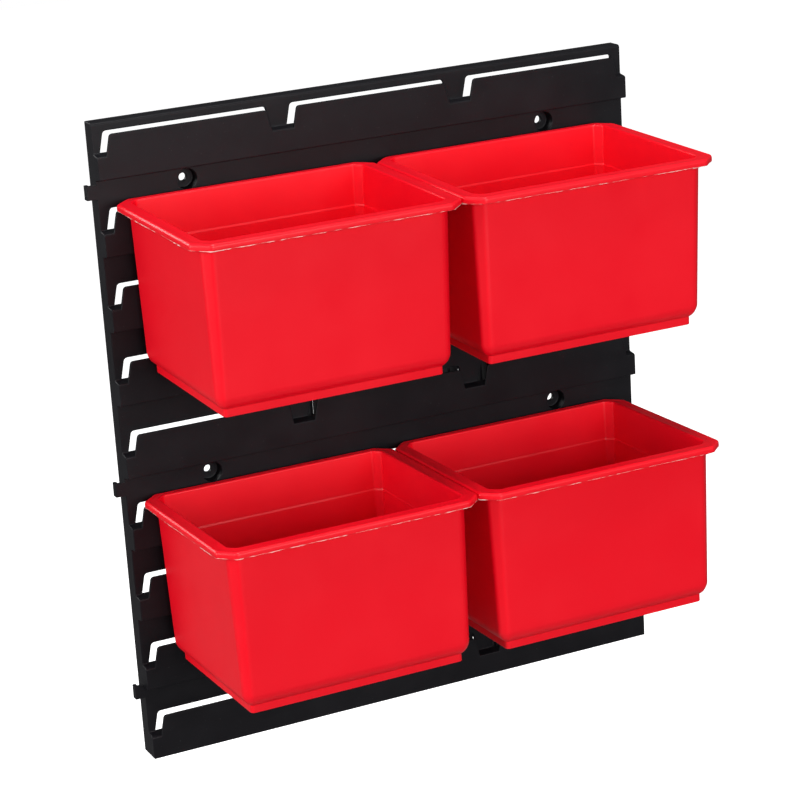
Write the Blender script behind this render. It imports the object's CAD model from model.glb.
import math
import bmesh
import bpy
from mathutils import Matrix, Vector, noise


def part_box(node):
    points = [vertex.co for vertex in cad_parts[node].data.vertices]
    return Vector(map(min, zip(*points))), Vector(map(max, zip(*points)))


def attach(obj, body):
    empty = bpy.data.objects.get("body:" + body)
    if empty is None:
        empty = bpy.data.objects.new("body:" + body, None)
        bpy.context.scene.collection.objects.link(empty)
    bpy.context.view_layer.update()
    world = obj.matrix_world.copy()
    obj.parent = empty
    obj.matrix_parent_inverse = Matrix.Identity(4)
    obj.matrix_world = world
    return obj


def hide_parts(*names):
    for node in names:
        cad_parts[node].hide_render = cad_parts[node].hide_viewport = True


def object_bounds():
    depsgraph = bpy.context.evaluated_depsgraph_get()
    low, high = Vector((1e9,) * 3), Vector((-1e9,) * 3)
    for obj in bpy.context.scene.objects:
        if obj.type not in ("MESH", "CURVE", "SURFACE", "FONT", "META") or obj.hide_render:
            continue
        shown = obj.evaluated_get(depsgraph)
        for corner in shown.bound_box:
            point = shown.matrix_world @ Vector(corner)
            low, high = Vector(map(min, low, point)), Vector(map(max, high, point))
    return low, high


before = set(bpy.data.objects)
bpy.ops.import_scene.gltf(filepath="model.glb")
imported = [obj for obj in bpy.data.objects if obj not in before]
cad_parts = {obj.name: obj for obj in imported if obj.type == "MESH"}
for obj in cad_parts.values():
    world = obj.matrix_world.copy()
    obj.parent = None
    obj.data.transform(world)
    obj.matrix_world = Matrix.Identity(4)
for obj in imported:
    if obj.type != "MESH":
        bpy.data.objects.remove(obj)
cadLow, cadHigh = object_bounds()
print("frame loaded:", ", ".join(sorted(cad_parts)))

mm = 0.001


def meshObject(name, points, faces):
    # points are in millimetres, in the frame's own axes
    mesh = bpy.data.meshes.new(name)
    mesh.from_pydata([(x * mm, y * mm, z * mm) for x, y, z in points], [], faces)
    mesh.validate()
    mesh.update()
    for polygon in mesh.polygons:
        polygon.use_smooth = True
    thing = bpy.data.objects.new(name, mesh)
    bpy.context.scene.collection.objects.link(thing)
    return thing


def loft(rings):
    # closed skin through rings of equal length, with a flat cap at each end
    count = len(rings[0])
    points = [point for ring in rings for point in ring]
    faces = []
    for level in range(len(rings) - 1):
        low, high = level * count, (level + 1) * count
        for i in range(count):
            j = (i + 1) % count
            faces.append((low + i, low + j, high + j, high + i))
    faces.append(tuple(reversed(range(count))))
    last = (len(rings) - 1) * count
    faces.append(tuple(last + i for i in range(count)))
    return points, faces


def joinLofts(lofts):
    points, faces = [], []
    for morePoints, moreFaces in lofts:
        start = len(points)
        points += morePoints
        faces += [tuple(start + i for i in face) for face in moreFaces]
    return points, faces


def shares(count):
    # equal steps from just above 0 up to 1
    return [step / count for step in range(1, count + 1)]


def quarter(steps):
    # the angles of a quarter turn, both ends included
    return [math.pi / 2 * t for t in [0] + shares(steps)]


def roundCorners(corners, radii, steps):
    # polygon with an arc at each corner, cut short where a side has no room for it
    result = []
    count = len(corners)
    mostOfSide, noTurn = 0.49, 1e-6
    for i, corner in enumerate(corners):
        here = Vector(corner)
        back = Vector(corners[i - 1]) - here
        ahead = Vector(corners[(i + 1) % count]) - here
        radius = radii[i] if isinstance(radii, (list, tuple)) else radii
        halfAngle = back.angle(ahead) / 2
        reach = min(radius / math.tan(halfAngle), back.length * mostOfSide, ahead.length * mostOfSide)
        radius = reach * math.tan(halfAngle)
        middle = (back.normalized() + ahead.normalized()).normalized()
        centre = here + middle * (radius / math.sin(halfAngle))
        start = here + back.normalized() * reach - centre
        end = here + ahead.normalized() * reach - centre
        turn = start.angle(end, 0.0)
        for t in [0] + shares(steps):
            if turn < noTurn:
                offset = start.lerp(end, t)
            else:
                offset = start * math.sin((1 - t) * turn) + end * math.sin(t * turn)
                offset /= math.sin(turn)
            result.append(tuple(centre + offset))
    return result


def edgeRound(radius, steps):
    # inset and travel of a quarter round, from the end face to the side
    return [(radius * (1 - math.sin(t)), radius * (1 - math.cos(t))) for t in quarter(steps)]


def throughRounds(ringAt, start, end, radius, steps):
    # rings from start to end, with the edge at both ends rounded
    rounding = edgeRound(radius, steps)
    rings = [ringAt(inset, start + travel) for inset, travel in rounding]
    return rings + [ringAt(inset, end - travel) for inset, travel in reversed(rounding)]


def faceOut(thing):
    # welds repeated points and turns every face outwards
    weld = 1e-7
    shape = bmesh.new()
    shape.from_mesh(thing.data)
    bmesh.ops.remove_doubles(shape, verts=shape.verts, dist=weld)
    bmesh.ops.dissolve_degenerate(shape, edges=shape.edges, dist=weld)
    bmesh.ops.recalc_face_normals(shape, faces=shape.faces)
    shape.to_mesh(thing.data)
    shape.free()


def discard(thing):
    mesh = thing.data
    bpy.data.objects.remove(thing)
    bpy.data.meshes.remove(mesh)


def weightNormals(thing):
    modifier = thing.modifiers.new("even shading", "WEIGHTED_NORMAL")
    modifier.mode = "FACE_AREA"
    modifier.weight = 90
    modifier.keep_sharp = True


class NodeMaker:
    def __init__(self, tree):
        self.tree = tree

    def add(self, kind, settings=None, inputs=None):
        node = self.tree.nodes.new(kind)
        for key, value in (settings or {}).items():
            if key == "stops":
                ramp = node.color_ramp
                while len(ramp.elements) < len(value):
                    ramp.elements.new(0.5)
                for element, (position, colour) in zip(ramp.elements, value):
                    element.position = position
                    element.color = colour
            else:
                setattr(node, key, value)
        for key, value in (inputs or {}).items():
            socket = node.inputs[key]
            for one in value if isinstance(value, list) else [value]:
                if isinstance(one, Amount):
                    one = one.socket
                if isinstance(one, bpy.types.NodeSocket):
                    self.tree.links.new(one, socket)
                else:
                    socket.default_value = one
        return node


class Amount:
    # a shader value that takes plain arithmetic
    def __init__(self, maker, socket):
        self.maker = maker
        self.socket = socket

    def worked(self, operation, first, second):
        node = self.maker.add("ShaderNodeMath", {"operation": operation}, {0: first, 1: second})
        return Amount(self.maker, node.outputs[0])

    def __add__(self, other):
        return self.worked("ADD", self, other)

    def __radd__(self, other):
        return self.worked("ADD", other, self)

    def __sub__(self, other):
        return self.worked("SUBTRACT", self, other)

    def __rsub__(self, other):
        return self.worked("SUBTRACT", other, self)

    def __mul__(self, other):
        return self.worked("MULTIPLY", self, other)

    def band(self, low, high):
        # 0 below low, 1 above high, smooth between
        node = self.maker.add(
            "ShaderNodeMapRange",
            {"interpolation_type": "SMOOTHSTEP"},
            {"Value": self, "From Min": low, "From Max": high},
        )
        return Amount(self.maker, node.outputs["Result"])


class Finish(NodeMaker):
    # one material: its tree, a few patterns on Object coordinates, and its output
    def __init__(self, name):
        self.material = bpy.data.materials.new(name)
        self.material.use_nodes = True
        super().__init__(self.material.node_tree)
        self.tree.nodes.clear()
        self.place = self.add("ShaderNodeTexCoord").outputs["Object"]

    def grain(self, scale, detail, rough, stretch=None):
        # noise, about 0.5 on average
        place = self.place
        if stretch:
            place = self.add("ShaderNodeMapping", None, {"Vector": place, "Scale": stretch}).outputs[0]
        inputs = {"Vector": place, "Scale": scale, "Detail": detail, "Roughness": rough}
        return Amount(self, self.add("ShaderNodeTexNoise", None, inputs).outputs[0])

    def blend(self, factor, first, second):
        node = self.add("ShaderNodeMix", {"data_type": "RGBA"}, {0: factor, 6: first, 7: second})
        return node.outputs[2]

    def bump(self, height, distance, under=None):
        inputs = {"Height": height, "Strength": 1.0, "Distance": distance}
        if under is not None:
            inputs["Normal"] = under
        return self.add("ShaderNodeBump", None, inputs).outputs[0]

    def done(self, inputs):
        shader = self.add("ShaderNodeBsdfPrincipled", None, inputs)
        self.add("ShaderNodeOutputMaterial", None, {"Surface": shader.outputs[0]})
        return self.material


# a grain is its scale, detail, roughness and stretch, and a band is where it starts and ends to show
binFinish = {
    "colour": (0.880, 0.0015, 0.0130, 1),
    "paleColour": (0.920, 0.0040, 0.0160, 1),
    "scuffColour": (0.930, 0.040, 0.040, 1),
    "roughness": 0.36,
    "roughnessSpread": 0.08,
    "specular": 0.36,
    "flowGrain": (9, 3, 0.55, (1, 1, 0.45)),
    "flowShare": 0.7,
    "cloudGrain": (34, 2, 0.5),
    "paleBand": (0.36, 0.66),
    "rubGrain": (420, 4, 0.7, (1, 0.16, 0.55)),
    "rubBand": (0.66, 0.78),
    "patchGrain": (24, 2, 0.5),
    "patchBand": (0.56, 0.68),
    "scuffShare": 0.35,
    "scuffRoughness": 0.12,
    "fineGrain": (2600, 2, 0.6),
    "fineDepth": 0.00003,
    "wavyGrain": (26, 2, 0.4),
    "wavyDepth": 0.00035,
}

flashFinish = {
    "colour": (0.880, 0.0015, 0.0130, 1),
    "paleColour": (1.000, 0.700, 0.640, 1),
    "roughness": 0.3,
    "roughnessSpread": 0.15,
    "specular": 0.6,
    "patchGrain": (160, 3, 0.5),
    "patchBand": (0.4, 0.6),
}

boardFinish = {
    "colour": (0.0042, 0.0038, 0.0056, 1),
    "paleColour": (0.0070, 0.0066, 0.0088, 1),
    "scuffColour": (0.0500, 0.0510, 0.0540, 1),
    "roughness": 0.47,
    "roughnessSpread": 0.16,
    "specular": 0.21,
    "flowGrain": (14, 3, 0.6, (0.35, 1, 1)),
    "flowShare": 0.6,
    "cloudGrain": (48, 3, 0.5),
    "paleBand": (0.38, 0.64),
    "rubGrain": (300, 4, 0.72, (0.12, 1, 1)),
    "rubBand": (0.66, 0.80),
    "patchGrain": (20, 2, 0.5),
    "patchBand": (0.54, 0.68),
    "scuffShare": 0.4,
    "scuffRoughness": 0.1,
    "speckGrain": (900, 1, 0.3),
    "speckBand": (0.775, 0.80),
    "speckShare": 0.35,
    "fineGrain": (1900, 3, 0.6),
    "fineDepth": 0.00005,
    "wavyGrain": (30, 2, 0.4),
    "wavyDepth": 0.0004,
}


def makePlastic(name, look):
    # cloudy colour with flow marks, rubbed patches, and a waviness under a fine grain
    f = Finish(name)
    flow, cloud = f.grain(*look["flowGrain"]), f.grain(*look["cloudGrain"])
    tone = flow * look["flowShare"] + cloud * (1 - look["flowShare"])
    colour = f.blend(tone.band(*look["paleBand"]), look["colour"], look["paleColour"])
    rubs, patches = f.grain(*look["rubGrain"]), f.grain(*look["patchGrain"])
    scuff = rubs.band(*look["rubBand"]) * patches.band(*look["patchBand"])
    marks = scuff * look["scuffShare"]
    if "speckGrain" in look:
        specks = f.grain(*look["speckGrain"]).band(*look["speckBand"])
        marks = marks + specks * look["speckShare"]
    colour = f.blend(marks, colour, look["scuffColour"])
    roughness = look["roughness"] + (cloud - 0.5) * look["roughnessSpread"]
    roughness = roughness + scuff * look["scuffRoughness"]
    wavy, fine = f.grain(*look["wavyGrain"]), f.grain(*look["fineGrain"])
    normal = f.bump(fine, look["fineDepth"], f.bump(wavy, look["wavyDepth"]))
    return f.done({
        "Base Color": colour,
        "Roughness": roughness,
        "Normal": normal,
        "Specular IOR Level": look["specular"],
    })


def makeFlashFinish(name, look):
    # the parting line's flash, pale where it is thin
    f = Finish(name)
    patches = f.grain(*look["patchGrain"])
    colour = f.blend(patches.band(*look["patchBand"]), look["colour"], look["paleColour"])
    return f.done({
        "Base Color": colour,
        "Roughness": look["roughness"] + patches * look["roughnessSpread"],
        "Specular IOR Level": look["specular"],
    })


binRed = makePlastic("bin_red_plastic", binFinish)
flashRed = makeFlashFinish("bin_flash_edge", flashFinish)
boardBlack = makePlastic("board_black_plastic", boardFinish)
print("finishes made")


# the board, in millimetres and degrees
boardShape = {
    "rows": 9,
    "rowPitch": 46.9,
    "topBand": 19.6,
    "endHooks": 6.3,
    "valleyDepth": 10.7,
    "crestDepth": 17.2,
    "shellWall": 2.2,
    "endWall": 2.2,
    "crestHeight": 14.1,
    "ledgeRise": 1.0,
    "underDrop": 1.2,
    "topRound": 1.6,
    "ledgeRound": 1.1,
    "valleyRound": 0.9,
    "footRound": 0.6,
    "underRound": 0.5,
    "bottomRound": 0.5,
    "endRound": 0.5,
    "hollowRound": 0.15,
    "leastRound": 0.02,
    "columns": 3,
    "sideMargin": 6.2,
    "tongueGap": 14.3,
    "tongueHeight": 13.1,
    "tongueThickness": 1.9,
    "tongueLean": 12.5,
    "tongueCorner": 2.2,
    "tongueRound": 0.45,
    "tongueFillet": 0.3,
    "tongueRoot": 2.0,  # how far it reaches down into its band
    "windowSideClear": 2.0,
    "windowTopClear": 1.1,
    "windowCorner": 2.4,
    "windowSill": 0.05,
    "windowFlare": 0.3,
    "windowBackFlare": 0.25,
    "screwSpacing": 246,
    "screwRows": (0, 4),
    "screwBelowLedge": 22.7,
    "screwHole": 2.5,
    "holeChamfer": 0.35,
    "screwRecess": 6.4,
    "recessFillet": ((-0.8, 0), (-0.25, 0.25), (0, 0.8)),
    "recessMouth": ((0, -0.45), (0.15, -0.15), (0.5, 0)),
    "screwSeat": 3.0,
    "screwWellWall": 2.0,
    "wellChamfer": 0.3,
    "crossRib": 3.2,
    "crossRibRows": (0, 2, 4, 6),
    "ribCorner": 0.2,
    "uprightWall": 1.9,
    "uprightOffsets": (8.7, 14.4),  # from the middle of a tongue gap
    "ribBite": 0.3,
    "hooks": ((0, 17.7), (4, 17.7), (7, 12.7)),  # row, and drop below its ledge
    "hookHeight": 8.7,
    "hookArm": 2.2,
    "hookDepth": 5.2,
    "hookRounds": (0.1, 0.1, 0.4, 0.5, 0.5, 0.8),
    "cutOver": 1.0,  # how far a cutter stands out of what it cuts
    "ribSteps": 2,
    "roundSteps": 3,
    "arcSteps": 4,
    "cornerSteps": 6,
    "roundSides": 48,
    "sharpAngle": 38,
}


class BoardForm:
    def __init__(self, name):
        s = boardShape
        low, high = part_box(name)
        self.top, self.bottom = high[2] / mm, low[2] / mm
        self.half = (high[0] / mm - low[0] / mm - s["endHooks"]) / 2
        self.lean = math.tan(math.radians(s["tongueLean"]))
        gaps = s["columns"] - 1
        self.rootWidth = (2 * self.half - 2 * s["sideMargin"] - gaps * s["tongueGap"]) / s["columns"]
        self.columnPitch = self.rootWidth + s["tongueGap"]
        self.firstX = -gaps / 2 * self.columnPitch

    def ledgeZ(self, row):
        return self.top - boardShape["topBand"] - row * boardShape["rowPitch"]

    def screwZ(self, row):
        return self.ledgeZ(row) - boardShape["screwBelowLedge"]

    def section(self, inset, back, rounded=True):
        # the board seen from its left end, as (depth, height), with softened corners
        s = boardShape
        valley, crest = s["valleyDepth"] - inset, s["crestDepth"] - inset
        corners = [(back, self.top - inset), (valley, self.top - inset)]
        radii = [0.0, s["topRound"]]
        for row in range(s["rows"]):
            ledge = self.ledgeZ(row) - inset
            corners += [(valley, ledge + s["ledgeRise"]), (crest, ledge)]
            radii += [s["valleyRound"], s["ledgeRound"]]
            if row < s["rows"] - 1:
                foot = self.ledgeZ(row) - s["crestHeight"] + inset
                corners += [(crest, foot), (valley, foot - s["underDrop"])]
                radii += [s["underRound"], s["footRound"]]
        corners += [(crest, self.bottom + inset), (back, self.bottom + inset)]
        radii += [s["bottomRound"], 0.0]
        if not rounded:
            radii = [s["hollowRound"] if radius else 0.0 for radius in radii]
        return roundCorners(corners, [max(radius, s["leastRound"]) for radius in radii], s["arcSteps"])


def across(outline, x):
    return [(x, -depth, z) for depth, z in outline]


def forward(outline, depth, shift=0.0):
    return [(x + shift, -depth, z) for x, z in outline]


def disc(x, z, stations):
    # round plug along the depth, through stations of radius and depth
    sides = boardShape["roundSides"]
    turns = [2 * math.pi * i / sides for i in range(sides)]
    return loft([[(x + radius * math.cos(t), -depth, z + radius * math.sin(t)) for t in turns]
                 for radius, depth in stations])


def boardBody(form):
    def endRing(inset, x):
        return across(form.section(inset, 0), x)

    rings = throughRounds(endRing, -form.half, form.half, boardShape["endRound"], boardShape["roundSteps"])
    return meshObject("board body", *loft(rings))


def boardHollow(form):
    # the open room behind the face
    innerHalf = form.half - boardShape["endWall"]
    outline = form.section(boardShape["shellWall"], -boardShape["cutOver"], False)
    return meshObject("board hollow", *loft([across(outline, -innerHalf), across(outline, innerHalf)]))


def boardRibs(form):
    # level ribs, from end wall to end wall
    s = boardShape
    reach = form.half - s["endWall"] / 2
    rise = s["crossRib"] / 2
    deep = s["valleyDepth"] - s["shellWall"] / 2
    ribs = []
    for row in s["crossRibRows"]:
        z = form.screwZ(row)
        corners = [(-reach, z - rise), (reach, z - rise), (reach, z + rise), (-reach, z + rise)]
        outline = roundCorners(corners, s["ribCorner"], s["ribSteps"])
        ribs.append(loft([forward(outline, depth) for depth in (0, deep)]))
    return meshObject("board ribs", *joinLofts(ribs))


def boardUprights(form):
    # upright ribs on both sides of each tongue gap, from the first level rib down
    s = boardShape
    ribTop = form.screwZ(s["crossRibRows"][0])
    inset = s["shellWall"] - s["ribBite"]
    outline = [(0, ribTop), (s["valleyDepth"] - inset, ribTop)]
    outline += [(depth, z) for depth, z in form.section(inset, 0, False) if z < ribTop]
    halfWall = s["uprightWall"] / 2
    uprights = []
    for gap in range(s["columns"] - 1):
        middle = form.firstX + (gap + 0.5) * form.columnPitch
        for offset in s["uprightOffsets"]:
            for x in (middle - offset, middle + offset):
                uprights.append(loft([across(outline, x - halfWall), across(outline, x + halfWall)]))
    return meshObject("board uprights", *joinLofts(uprights))


def screwParts(form):
    # the wells that are added, then the recesses and holes that are cut
    s = boardShape
    valley, seat, over = s["valleyDepth"], s["screwSeat"], s["cutOver"]
    recess, well = s["screwRecess"], s["screwRecess"] + s["screwWellWall"]
    wellStations = [(well - s["wellChamfer"], 0), (well, s["wellChamfer"])]
    wellStations.append((well, valley - s["shellWall"] / 2))
    recessStations = [(recess + wider, seat + deeper) for wider, deeper in s["recessFillet"]]
    recessStations += [(recess + wider, valley + deeper) for wider, deeper in s["recessMouth"]]
    recessStations.append((recessStations[-1][0], valley + over))
    hole, chamfer = s["screwHole"], s["holeChamfer"]
    holeStations = [(hole, -over), (hole, seat - chamfer), (hole + chamfer, seat)]
    holeStations.append((hole + chamfer, seat + over / 2))
    aside = s["screwSpacing"] / 2
    places = [(x, form.screwZ(row)) for row in s["screwRows"] for x in (-aside, aside)]
    labels = ("wells", "recesses", "holes")
    made = []
    for label, stations in zip(labels, (wellStations, recessStations, holeStations)):
        made.append(meshObject("board " + label, *joinLofts([disc(x, z, stations) for x, z in places])))
    return made


def edgeHooks(form):
    # hooks on the left edge, seen from above
    s = boardShape
    valley, arm = s["valleyDepth"], s["hookArm"]
    root, tip = s["endWall"] - form.half, form.half + s["endHooks"]
    plan = [(root, -valley), (root, arm - valley), (arm - tip, arm - valley),
            (arm - tip, s["hookDepth"] - valley), (-tip, s["hookDepth"] - valley), (-tip, -valley)]
    plan = roundCorners(plan, s["hookRounds"], s["arcSteps"])
    hooks = []
    for row, drop in s["hooks"]:
        zTop = form.ledgeZ(row) - drop
        hooks.append(loft([[(x, y, z) for x, y in plan] for z in (zTop, zTop - s["hookHeight"])]))
    return meshObject("board hooks", *joinLofts(hooks))


def firstTongue(form):
    s = boardShape
    root = form.ledgeZ(0)
    leanAngle = math.radians(s["tongueLean"])
    least, fillet, corner = s["leastRound"], s["tongueFillet"], s["tongueCorner"]
    rounds = [least, least, fillet, corner, corner, fillet]

    def tongueRing(inset, depth):
        rootHalf = form.rootWidth / 2 - inset / math.cos(leanAngle)
        tip = root + s["tongueHeight"] - inset
        tipHalf = rootHalf - (tip - root) * form.lean
        buried = root - s["tongueRoot"]
        outline = [(-rootHalf, buried), (rootHalf, buried), (rootHalf, root),
                   (tipHalf, tip), (-tipHalf, tip), (-rootHalf, root)]
        return forward(roundCorners(outline, rounds, s["cornerSteps"]), depth, form.firstX)

    back = s["crestDepth"] - s["tongueThickness"]
    rings = throughRounds(tongueRing, back, s["crestDepth"], s["tongueRound"], s["roundSteps"])
    return meshObject("board tongue", *loft(rings))


def firstWindow(form):
    # cutter for the slot behind the first tongue
    s = boardShape
    sill = form.ledgeZ(0) + s["ledgeRise"]
    head = form.ledgeZ(0) + s["tongueHeight"] + s["windowTopClear"]
    sillHalf = form.rootWidth / 2 - s["ledgeRise"] * form.lean + s["windowSideClear"]
    valley, flare, backFlare = s["valleyDepth"], s["windowFlare"], s["windowBackFlare"]
    inside = valley - s["shellWall"]
    rounds = [s["windowSill"], s["windowSill"], s["windowCorner"], s["windowCorner"]]
    rings = []
    for grow, depth in ((backFlare, -s["cutOver"]), (backFlare, inside), (0, inside + backFlare),
                        (0, valley - flare), (flare, valley), (flare, valley + s["cutOver"])):
        low, high = sillHalf + grow, head + grow
        headHalf = low - (high - sill) * form.lean
        outline = roundCorners([(-low, sill), (low, sill), (headHalf, high), (-headHalf, high)],
                               rounds, s["cornerSteps"])
        rings.append(forward(outline, depth, form.firstX))
    return meshObject("board window", *loft(rings))


def makeBoard(name):
    s = boardShape
    form = BoardForm(name)
    body, hollow = boardBody(form), boardHollow(form)
    ribs, uprights = boardRibs(form), boardUprights(form)
    wells, recesses, holes = screwParts(form)
    hooks, tongue, window = edgeHooks(form), firstTongue(form), firstWindow(form)
    parts = (body, hollow, ribs, uprights, wells, recesses, holes, hooks, tongue, window)
    for part in parts:
        faceOut(part)

    tree = bpy.data.node_groups.new("louvre board", "GeometryNodeTree")
    sockets = {}
    tree.interface.new_socket("Geometry", in_out="INPUT", socket_type="NodeSocketGeometry")
    for label, kind in (("Rows", "Int"), ("Columns", "Int"), ("Row Pitch", "Float"),
                        ("Column Pitch", "Float"), ("Finish", "Material")):
        socket = tree.interface.new_socket(label, in_out="INPUT", socket_type="NodeSocket" + kind)
        sockets[label] = socket.identifier
    tree.interface.new_socket("Geometry", in_out="OUTPUT", socket_type="NodeSocketGeometry")
    g = NodeMaker(tree)
    given = g.add("NodeGroupInput").outputs

    def shapeOf(thing):
        return g.add("GeometryNodeObjectInfo", None, {"Object": thing}).outputs["Geometry"]

    def repeated(thing):
        # one shape, repeated along a row and then down the rows
        along = g.add("ShaderNodeCombineXYZ", None, {"X": given["Column Pitch"]}).outputs[0]
        drop = g.add("ShaderNodeMath", {"operation": "MULTIPLY"}, {0: given["Row Pitch"], 1: -1.0})
        down = g.add("ShaderNodeCombineXYZ", None, {"Z": drop.outputs[0]}).outputs[0]
        made = shapeOf(thing)
        for count, offset in ((given["Columns"], along), (given["Rows"], down)):
            line = g.add("GeometryNodeMeshLine", None, {"Count": count, "Offset": offset}).outputs[0]
            made = g.add("GeometryNodeInstanceOnPoints", None, {"Points": line, "Instance": made})
            made = made.outputs[0]
        return g.add("GeometryNodeRealizeInstances", None, {"Geometry": made}).outputs[0]

    def joined(first, others):
        settings = {"operation": "UNION", "solver": "MANIFOLD"}
        return g.add("GeometryNodeMeshBoolean", settings, {"Mesh 2": [first] + others}).outputs[0]

    def cut(first, others):
        settings = {"operation": "DIFFERENCE", "solver": "MANIFOLD"}
        made = g.add("GeometryNodeMeshBoolean", settings, {"Mesh 1": first, "Mesh 2": others})
        return made.outputs[0]

    made = cut(given["Geometry"], [shapeOf(hollow)])
    made = cut(made, [repeated(window)])
    made = joined(made, [repeated(tongue)])
    made = joined(made, [shapeOf(ribs), shapeOf(uprights), shapeOf(wells), shapeOf(hooks)])
    made = cut(made, [shapeOf(recesses), shapeOf(holes)])
    made = g.add("GeometryNodeRealizeInstances", None, {"Geometry": made}).outputs[0]
    made = g.add("GeometryNodeSetMaterial", None, {"Geometry": made, "Material": given["Finish"]})
    g.add("NodeGroupOutput", None, {"Geometry": made.outputs[0]})

    modifier = body.modifiers.new("louvres", "NODES")
    modifier.node_group = tree
    modifier[sockets["Rows"]] = s["rows"]
    modifier[sockets["Columns"]] = s["columns"]
    modifier[sockets["Row Pitch"]] = s["rowPitch"] * mm
    modifier[sockets["Column Pitch"]] = form.columnPitch * mm
    modifier[sockets["Finish"]] = boardBlack
    graph = bpy.context.evaluated_depsgraph_get()
    mesh = bpy.data.meshes.new_from_object(body.evaluated_get(graph))
    mesh.name = "louvre_board_shell"
    board = bpy.data.objects.new("louvre_board_shell", mesh)
    bpy.context.scene.collection.objects.link(board)
    body.modifiers.clear()
    for part in parts:
        discard(part)
    for polygon in mesh.polygons:
        polygon.use_smooth = True
    mesh.set_sharp_from_angle(angle=math.radians(s["sharpAngle"]))
    weightNormals(board)
    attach(board, "board")
    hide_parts("louvre_board")
    print("board faces:", len(mesh.polygons), "points:", len(mesh.vertices))


# a bin, in millimetres and degrees
binShape = {
    "width": 171.0,
    "depth": 136.6,
    "height": 106.4,
    "wall": 1.7,
    "draft": 1.6,
    "wallCorner": 5.0,
    "innerCorner": 2.6,
    "innerFrom": 1.6,  # insets beyond this take the inner corner
    "leastChamfer": 1.4,
    "leastCorner": 0.6,
    "wallBow": 0.35,  # how far a wall is drawn in at its middle
    "bowReach": (71.5, 53.5),  # half the length that bows, along X and along Y
    "bowFrom": (65.5, 45.0),  # points further out than this lie on a wall
    "rimThickness": 1.7,
    "rimOverhang": 7.5,
    "rimBackOverhang": 4.7,
    "rimLip": 4.0,
    "rimChamfer": 10.0,
    "rimCorner": 3.6,
    "rimRound": 1.9,
    "rimInset": 0.1,
    "rimFillet": 1.0,
    "lipInnerEdge": ((0.15, 0.25), (0.35, 0.0)),  # inset and rise of each point
    "lipOuterEdge": ((0.4, 0.0), (0.15, 0.12), (0.03, 0.4)),
    "rimDish": 0.3,
    "dishOuter": (1.2, 0.8),  # distance from the round, and share of the dish
    "dishInner": ((2.2, 1.0), (0.7, 0.35)),
    "mouthRound": 1.1,
    "stepDrop": 25.5,
    "step": 0.4,
    "stepFall": 1.4,
    "baseRadius": 9.5,
    "baseShare": 0.95,  # the part of the base round above the plinth's fillet
    "plinthInset": 5.0,
    "plinthHeight": 5.2,
    "plinthFillet": ((0.0, 0.6), (0.04, 0.2), (0.22, -0.1)),
    "footRecess": 1.2,
    "footRing": 4.0,
    "footEdge": 0.4,
    "softEdge": (0.5, 0.15),
    "floorThickness": 1.9,
    "floorFillet": ((0.12, 1.1), (0.3, 0.5), (0.8, 0.1), (1.6, 0.0), (14.0, 0.0)),
    "hookLip": 14.5,
    "hookTop": 0.8,
    "hookInset": 0.05,
    "hookRound": 0.35,
    "hookCorners": (3.0, 3.0, 0.2, 0.2),
    "gussetCount": 7,
    "gussetHeight": 3.8,
    "gussetThickness": 1.6,
    "gussetMargin": 0.4,
    "gussetTop": 1.0,
    "gussetBite": 0.6,
    "gussetCorner": 0.15,
    "hookGap": 0.7,
    "restGap": 0.3,
    "hungRows": {"upper": 1, "lower": 5},
    "tilt": {"upper": 0.4, "lower": -1.7},
    "arcSteps": 4,
    "sideSteps": 16,
    "baseSteps": (10, 8),  # outside, inside
    "wallSteps": (10, 4, 8),  # outside, inside above the step, inside below it
    "fallSteps": 6,
    "filletSteps": 4,
    "rimSteps": 7,
    "mouthSteps": 5,
    "hookSteps": 5,
    "roundSteps": 3,
    "gussetSteps": 2,
}

# the ragged flash under a bin's rim, in millimetres
flashShape = {
    "inset": 0.16,
    "spacing": 1.1,
    "height": 0.55,
    "thickness": 0.22,
    "thinnest": 0.6,
    "bury": 0.35,
    "mean": 0.30,
    "spread": 0.85,
    "least": 0.04,
    "waves": 0.11,
    "waveDetail": (0.8, 2.2, 4),
    "raggedness": 0.9,
    "raggedShare": 0.55,
    "seedSteps": (0.37, 0.21, 4.0),
}


def octagonRing(xHalf, yLow, yHigh, cut, corner, z):
    # rectangle with cut and rounded corners; its straight sides carry a few points of their own
    corners = [
        (xHalf - cut, yLow), (xHalf, yLow + cut), (xHalf, yHigh - cut), (xHalf - cut, yHigh),
        (cut - xHalf, yHigh), (-xHalf, yHigh - cut), (-xHalf, yLow + cut), (cut - xHalf, yLow),
    ]
    steps, sides = binShape["arcSteps"], len(corners)
    rounded = roundCorners(corners, corner, steps)
    ring = []
    for i in range(sides):
        arc = rounded[i * (steps + 1):(i + 1) * (steps + 1)]
        ring += [(x, y, z) for x, y in arc]
        if i % 2:
            start = Vector(arc[-1])
            end = Vector(rounded[((i + 1) % sides) * (steps + 1)])
            for t in shares(binShape["sideSteps"])[:-1]:
                x, y = start.lerp(end, t)
                ring.append((x, y, z))
    return ring


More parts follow.
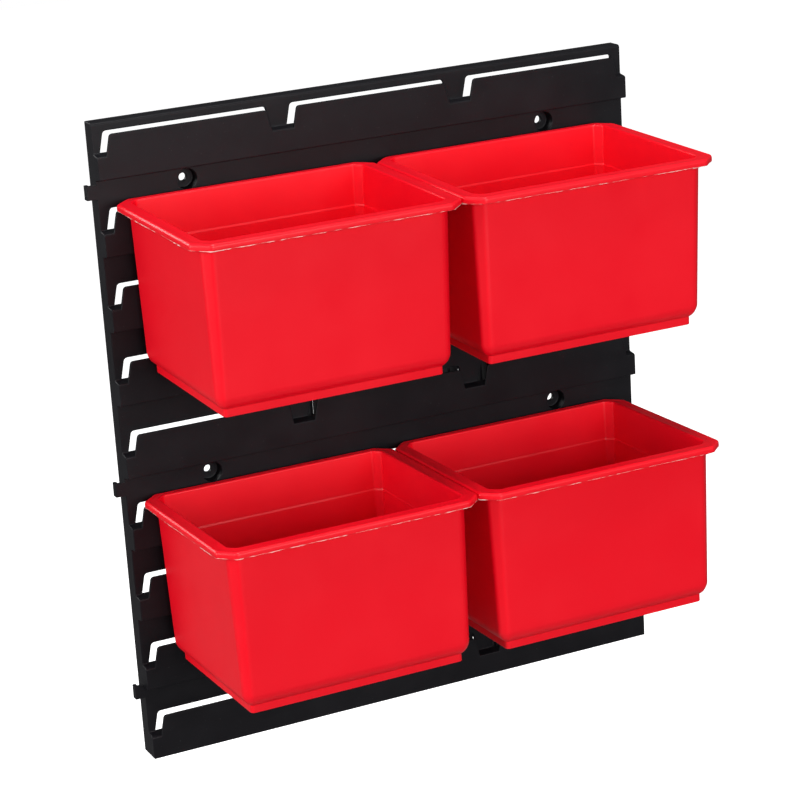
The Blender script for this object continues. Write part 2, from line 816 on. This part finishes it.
class BinForm:
    # a bin about the top edge of the tongue that carries it, before it is tipped
    def __init__(self):
        s = binShape
        self.half = s["width"] / 2
        self.back = boardShape["tongueThickness"] / 2 + s["hookGap"] + s["rimThickness"]
        self.front = self.back - s["depth"]
        self.top = s["restGap"] + s["gussetHeight"] + s["rimThickness"]
        self.hookHalf = self.half - s["rimChamfer"]
        self.hookFront = self.back - s["rimThickness"]
        self.slope = math.tan(math.radians(s["draft"]))
        self.baseTurn = math.acos(1 - s["plinthInset"] / s["baseRadius"])
        self.wallEnd = s["height"] - s["plinthHeight"] - s["baseRadius"] * math.sin(self.baseTurn)
        self.chamferLoss = 2 - math.sqrt(2)  # a chamfer shrinks by this share of an inset

    def rimRing(self, inset, drop):
        s = binShape
        cut = s["rimChamfer"] - inset * self.chamferLoss
        corner = max(s["rimCorner"] - inset / 2, s["leastCorner"])
        front, back = self.front + inset, self.back - inset
        return octagonRing(self.half - inset, front, back, cut, corner, self.top - drop)

    def wallRing(self, drop, inset, leanDrop=None):
        # a ring of the wall; leanDrop holds the draft at one level where the wall has ended
        s = binShape
        drawn = (drop if leanDrop is None else leanDrop) * self.slope + inset
        cut = max(s["rimChamfer"] - (s["rimOverhang"] + drawn) * self.chamferLoss, s["leastChamfer"])
        corner = s["innerCorner"] if inset > s["innerFrom"] else s["wallCorner"]
        side = s["rimOverhang"] + drawn
        front, back = self.front + side, self.back - s["rimBackOverhang"] - drawn
        ring = octagonRing(self.half - side, front, back, cut, corner, self.top - drop)
        # moulded walls are drawn in a little between their stiff rim and base
        sag = s["wallBow"] * math.sin(math.pi * min(max(drop / s["height"], 0), 1)) ** 2
        middleY = (self.front + self.back) / 2
        reachX, reachY = s["bowReach"]
        fromX, fromY = s["bowFrom"]
        bowed = []
        for x, y, z in ring:
            alongX = max(0.0, 1 - (x / reachX) ** 2)
            alongY = max(0.0, 1 - ((y - middleY) / reachY) ** 2)
            x -= math.copysign(sag * alongY, x) if abs(x) > fromX else 0
            y -= math.copysign(sag * alongX, y - middleY) if abs(y - middleY) > fromY else 0
            bowed.append((x, y, z))
        return bowed


def softCorner(inset, drop, inwards, downwards):
    # three points round a small moulded edge
    wide, tight = binShape["softEdge"]
    return [(inset + inwards * wide, drop), (inset + inwards * tight, drop + downwards * tight),
            (inset, drop + downwards * wide)]


def binOutside(form):
    # rings from the underside, round the foot and up the wall to the rim
    s = binShape
    height, radius, wallEnd = s["height"], s["baseRadius"], form.wallEnd
    plinth = s["plinthInset"]
    foot = plinth + s["footRing"]
    edge = s["footEdge"]
    stations = softCorner(foot, height - s["footRecess"], 1, 1)
    stations += [(foot - edge / 4, height - edge * 3 / 4), (foot - edge, height)]
    stations += softCorner(plinth, height, 1, -1)
    plinthTop = height - s["plinthHeight"]
    stations += [(plinth - inward, plinthTop + below) for inward, below in s["plinthFillet"]]
    rings = [form.wallRing(drop, inset, wallEnd) for inset, drop in stations]
    for t in shares(s["baseSteps"][0]):
        turn = form.baseTurn * s["baseShare"] * (1 - t)
        inset = radius * (1 - math.cos(turn))
        rings.append(form.wallRing(wallEnd + radius * math.sin(turn), inset, wallEnd))
    under, fillet = s["rimThickness"], s["rimFillet"]
    for t in shares(s["wallSteps"][0]):
        rings.append(form.wallRing(wallEnd + (under + fillet - wallEnd) * t, 0))
    for turn in quarter(s["filletSteps"])[1:]:
        inset = -fillet * (1 - math.cos(turn))
        rings.append(form.wallRing(under + fillet * (1 - math.sin(turn)), inset))
    return rings


def binRim(form):
    # under the rim, down and round its lip, over the top edge and across to the mouth
    s = binShape
    lip = s["rimLip"]
    stations = softCorner(s["rimThickness"], s["rimThickness"], 1, 1)
    stations += [(s["rimThickness"] - inset, lip - rise) for inset, rise in s["lipInnerEdge"]]
    stations += [(inset, lip - rise) for inset, rise in s["lipOuterEdge"]]
    start, radius = s["rimInset"], s["rimRound"]
    for turn in quarter(s["rimSteps"]):
        stations.append((start + radius * (1 - math.cos(turn)), radius * (1 - math.sin(turn))))
    away, share = s["dishOuter"]
    stations.append((start + radius + away, s["rimDish"] * share))
    rings = [form.rimRing(inset, drop) for inset, drop in stations]
    mouth, edge = s["wall"], s["mouthRound"]
    for away, share in s["dishInner"]:
        rings.append(form.wallRing(s["rimDish"] * share, mouth - edge - away))
    for turn in quarter(s["mouthSteps"]):
        rings.append(form.wallRing(edge * (1 - math.cos(turn)), mouth - edge * (1 - math.sin(turn))))
    return rings


def binInside(form):
    # down the inside to the step, past it, round the base and across the floor
    s = binShape
    mouth, edge, wallEnd = s["wall"], s["mouthRound"], form.wallEnd
    above, below = s["wallSteps"][1:]
    stepTop = s["stepDrop"] - s["stepFall"] / 2
    rings = [form.wallRing(edge + (stepTop - edge) * t, mouth) for t in shares(above)]
    for t in shares(s["fallSteps"]):
        eased = 3 * t * t - 2 * t * t * t
        rings.append(form.wallRing(stepTop + s["stepFall"] * t, mouth + s["step"] * eased))
    inner = mouth + s["step"]
    stepEnd = stepTop + s["stepFall"]
    rings += [form.wallRing(stepEnd + (wallEnd - stepEnd) * t, inner) for t in shares(below)]
    for t in shares(s["baseSteps"][1]):
        turn = form.baseTurn * t
        inset = inner + s["baseRadius"] * (1 - math.cos(turn))
        rings.append(form.wallRing(wallEnd + s["baseRadius"] * math.sin(turn), inset, wallEnd))
    floorDrop = s["height"] - s["footRecess"] - s["floorThickness"]
    for inward, rise in s["floorFillet"]:
        rings.append(form.wallRing(floorDrop - rise, inner + s["plinthInset"] + inward, wallEnd))
    return rings


def binHookLip(form):
    # the lip that drops behind the tongues
    s = binShape
    half, low, high = form.hookHalf, -s["hookLip"], -s["hookTop"]
    corners = [(-half, low), (half, low), (half, high), (-half, high)]
    outline = roundCorners(corners, s["hookCorners"], s["hookSteps"])

    def lipRing(inset, y):
        ring = []
        for x, z in outline:
            x -= math.copysign(min(inset, abs(x)), x)
            z += inset if z < low / 2 else 0
            ring.append((x, y, form.top + z))
        return ring

    hookBack = form.back - s["hookInset"]
    rings = throughRounds(lipRing, form.hookFront, hookBack, s["hookRound"], s["roundSteps"])
    return loft(rings[::-1])


def binGussets(form):
    # the small ribs under the rim that stand on the tongues
    s = binShape
    thickness, bite = s["gussetThickness"], s["gussetBite"]
    yLow, yHigh = form.back - s["rimBackOverhang"] - bite, form.hookFront + bite
    zLow, zHigh = form.top - s["rimThickness"] - s["gussetHeight"], form.top - s["gussetTop"]
    start = s["gussetMargin"] - form.hookHalf
    room = 2 * form.hookHalf - thickness - 2 * s["gussetMargin"]
    gussets = []
    for index in range(s["gussetCount"]):
        x = start + index / (s["gussetCount"] - 1) * room
        corners = [(x, yLow), (x + thickness, yLow), (x + thickness, yHigh), (x, yHigh)]
        outline = roundCorners(corners, s["gussetCorner"], s["gussetSteps"])
        gussets.append(loft([[(px, py, z) for px, py in outline] for z in (zLow, zHigh)]))
    return gussets


def rimFlash(form, centreX):
    # thin irregular flash along the lip's parting line
    s = flashShape
    path = form.rimRing(s["inset"], 0)
    stepX, stepZ, seedZ = s["seedSteps"]
    seed = Vector((centreX * stepX, form.top * stepZ, seedZ))
    line = []
    for i, point in enumerate(path):
        start, end = Vector(point), Vector(path[(i + 1) % len(path)])
        pieces = max(1, int((end - start).length / s["spacing"]))
        line += [start.lerp(end, piece / pieces) for piece in range(pieces)]
    z = form.top - binShape["rimLip"]
    bands = [[], [], [], []]
    for i, point in enumerate(line):
        along = (line[(i + 1) % len(line)] - line[i - 1]).normalized()
        inward = Vector((-along.y, along.x, 0))
        ragged = noise.fractal(point * s["waves"] + seed, *s["waveDetail"])
        ragged += s["raggedShare"] * noise.noise(point * s["raggedness"] + seed)
        reach = s["height"] * min(max(s["mean"] + s["spread"] * ragged, s["least"]), 1.0)
        fullness = min(max(ragged + 0.5, 0), 1)
        thick = s["thickness"] * (s["thinnest"] + (1 - s["thinnest"]) * fullness)
        back = point + inward * thick
        corners = ((back, s["bury"]), (point, s["bury"]), (point, -reach), (back, -reach))
        for band, (corner, rise) in zip(bands, corners):
            band.append((corner.x, corner.y, z + rise))
    count = len(line)
    faces = []
    for band in range(4):
        for i in range(count):
            j = (i + 1) % count
            here, there = band * count, (band + 1) % 4 * count
            faces.append((here + i, there + i, there + j, here + j))
    return [point for band in bands for point in band], faces


def makeBin(name):
    # modelled about the top edge of the tongue that carries it, then tipped and set in place
    s = binShape
    low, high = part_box(name)
    pair = name.split("_")[1]
    centreX = (low[0] + high[0]) / 2 / mm
    b = boardShape
    tongueY = b["tongueThickness"] / 2 - b["crestDepth"]
    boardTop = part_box("louvre_board")[1][2] / mm
    tongueZ = boardTop - b["topBand"] - s["hungRows"][pair] * b["rowPitch"] + b["tongueHeight"]
    place = Vector((centreX, tongueY, tongueZ))
    tip = Matrix.Rotation(math.radians(s["tilt"][pair]), 3, "X")

    def placed(skin):
        points, faces = skin
        return [tuple(tip @ Vector(point) + place) for point in points], faces

    form = BinForm()
    body = loft(binOutside(form) + binRim(form) + binInside(form))
    thing = meshObject(name + "_shell", *placed(joinLofts([body, binHookLip(form)] + binGussets(form))))
    flash = meshObject(name + "_flash", *placed(rimFlash(form, centreX)))
    thing.data.materials.append(binRed)
    flash.data.materials.append(flashRed)
    for piece in (thing, flash):
        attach(piece, name)
    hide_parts(name)
    weightNormals(thing)


binNames = [name for name in sorted(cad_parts) if name.startswith("bin_")]
for binName in binNames:
    makeBin(binName)
print("bins made:", len(binNames))

makeBoard("louvre_board")
print("board made")


# the floor and the light around the model, in metres
studio = {
    "floorDrop": 0.62,
    "floorSize": 14.0,
    "floorColour": (0.90, 0.90, 0.90, 1),
    "floorRoughness": 0.9,
    "floorSpecular": 0.1,
    "floorGlow": 0.85,
    "floorBounce": (0.20, 0.20, 0.20, 1),
    "skyTop": 0.34,
    "skySide": 0.30,
    "skyLow": 0.10,
    "skyBack": 0.20,
    "behindBand": (-0.2, 0.7),
    "aim": (0, -0.05, -0.05),
}

# each lamp: where it stands, its width and height, and its power
lamps = {
    "key": ((-0.1, -2.4, 0.45), (1.8, 0.9), 39),
    "left": ((-2.3, -0.25, 0.5), (1.0, 1.4), 33),
    "top": ((-0.1, -0.4, 2.2), (0.8, 0.8), 30),
    "back": ((-1.3, 2.2, 0.9), (1.6, 1.2), 26),
}


def makeFloor():
    half = studio["floorSize"] / 2 / mm
    z = (cadLow[2] - studio["floorDrop"]) / mm
    points = [(-half, -half, z), (half, -half, z), (half, half, z), (-half, half, z)]
    floor = meshObject("studio_floor", points, [(0, 1, 2, 3)])
    # white to the eye, but a quiet grey to the light that bounces off it on to the model
    f = Finish("studio_floor_paint")
    white = f.add("ShaderNodeBsdfPrincipled", None, {
        "Base Color": studio["floorColour"],
        "Roughness": studio["floorRoughness"],
        "Specular IOR Level": studio["floorSpecular"],
        "Emission Color": (1, 1, 1, 1),
        "Emission Strength": studio["floorGlow"],
    })
    grey = f.add("ShaderNodeBsdfDiffuse", None, {"Color": studio["floorBounce"]})
    ray = f.add("ShaderNodeLightPath").outputs["Is Camera Ray"]
    mixed = f.add("ShaderNodeMixShader", None, {0: ray, 1: grey.outputs[0], 2: white.outputs[0]})
    f.add("ShaderNodeOutputMaterial", None, {"Surface": mixed.outputs[0]})
    floor.data.materials.append(f.material)


def makeSky():
    world = bpy.data.worlds.new("studio sky")
    world.use_nodes = True
    world.node_tree.nodes.clear()
    g = NodeMaker(world.node_tree)
    direction = g.add("ShaderNodeTexCoord").outputs["Generated"]
    parts = g.add("ShaderNodeSeparateXYZ", None, {0: direction}).outputs
    greys = [(grey, grey, grey, 1) for grey in (studio["skyLow"], studio["skySide"], studio["skyTop"])]
    height = g.add("ShaderNodeMapRange", None, {"Value": parts[2], "From Min": -1.0, "From Max": 1.0})
    stops = list(zip((0.0, 0.5, 1.0), greys))
    ramp = g.add("ShaderNodeValToRGB", {"stops": stops}, {0: height.outputs[0]}).outputs[0]
    # darker behind the board than in front of it
    behind = Amount(g, parts[1]).band(*studio["behindBand"])
    strength = 1.0 - behind * (1.0 - studio["skyBack"])
    lighting = g.add("ShaderNodeBackground", None, {"Color": ramp, "Strength": strength}).outputs[0]
    seen = g.add("ShaderNodeBackground", None, {"Color": (1, 1, 1, 1), "Strength": 1.0}).outputs[0]
    ray = g.add("ShaderNodeLightPath").outputs["Is Camera Ray"]
    mixed = g.add("ShaderNodeMixShader", None, {0: ray, 1: lighting, 2: seen}).outputs[0]
    g.add("ShaderNodeOutputWorld", None, {"Surface": mixed})
    bpy.context.scene.world = world


def makeLamp(name):
    place, size, power = lamps[name]
    lamp = bpy.data.lights.new(name, "AREA")
    lamp.shape = "RECTANGLE"
    lamp.size, lamp.size_y = size
    lamp.energy = power
    thing = bpy.data.objects.new(name, lamp)
    thing.location = place
    thing.rotation_euler = (Vector(studio["aim"]) - Vector(place)).to_track_quat("-Z", "Y").to_euler()
    bpy.context.scene.collection.objects.link(thing)


view = {
    "place": (-0.6748, -1.4816, 0.4407),
    "azimuth": -24.94,
    "elevation": 17.54,
    "roll": -3.59,
    "lens": 119.0,
    "sensor": 36,
    "clip": (0.05, 50),
}


def makeCamera():
    azimuth, elevation, roll = (math.radians(view[key]) for key in ("azimuth", "elevation", "roll"))
    flat = math.cos(elevation)
    ahead = Vector((-math.sin(azimuth) * flat, math.cos(azimuth) * flat, -math.sin(elevation)))
    level = ahead.cross(Vector((0, 0, 1))).normalized()
    up = level.cross(ahead)
    side = level * math.cos(roll) + up * math.sin(roll)
    head = up * math.cos(roll) - level * math.sin(roll)
    data = bpy.data.cameras.new("camera")
    data.lens = view["lens"]
    data.sensor_width = view["sensor"]
    data.clip_start, data.clip_end = view["clip"]
    camera = bpy.data.objects.new("camera", data)
    turned = Matrix((side, head, -ahead)).transposed().to_4x4()
    camera.matrix_world = Matrix.Translation(view["place"]) @ turned
    bpy.context.scene.collection.objects.link(camera)
    bpy.context.scene.camera = camera


makeFloor()
makeSky()
for lampName in lamps:
    makeLamp(lampName)
makeCamera()
bpy.context.scene.view_settings.view_transform = "Standard"
bpy.context.scene.view_settings.look = "None"
print("studio made")
